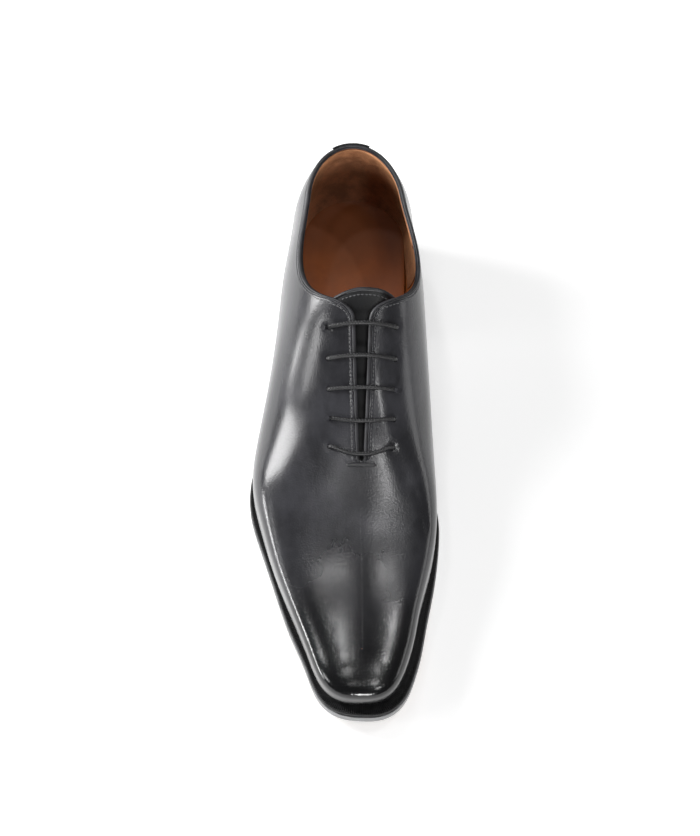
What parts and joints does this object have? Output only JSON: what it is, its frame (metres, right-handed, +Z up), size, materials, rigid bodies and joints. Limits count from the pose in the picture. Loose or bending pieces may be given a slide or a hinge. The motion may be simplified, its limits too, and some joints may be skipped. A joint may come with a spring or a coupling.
{
  "type": "oxford shoe",
  "caption": "Right men's wholecut oxford in dark grey calf: one-piece upper, closed lacing with straight bars, squared chisel toe, welted leather sole and stacked heel.",
  "frame": {"origin": "on the floor, under the middle of the heel's top lift", "axes": "+Z up; the toe points along -Y and the heel's back along +Y; +X is the medial side of this right shoe"},
  "size_m": [0.1001, 0.2961, 0.0989],
  "materials": {
    "outsole": "edge dyed grey and waxed, underside buffed",
    "heel": "stacked layers, dyed black and waxed",
    "top_lift": "matte",
    "welt": "black, wheeled into short ribs",
    "insole": "smooth tan sock lining",
    "upper": "polished calf with a mottled grey patina, nearly black at the toe",
    "heel_tab": "polished calf",
    "tongue": "satin calf",
    "lace": "thin round waxed cord"
  },
  "bodies": {
    "root": {"outsole": "outsole", "heel_stack": "heel", "top_lift": "top_lift", "welt": "welt", "insole": "insole", "upper": "upper", "heel_tab": "heel_tab", "tongue": "tongue", "lace": "lace"}
  },
  "joints": []
}
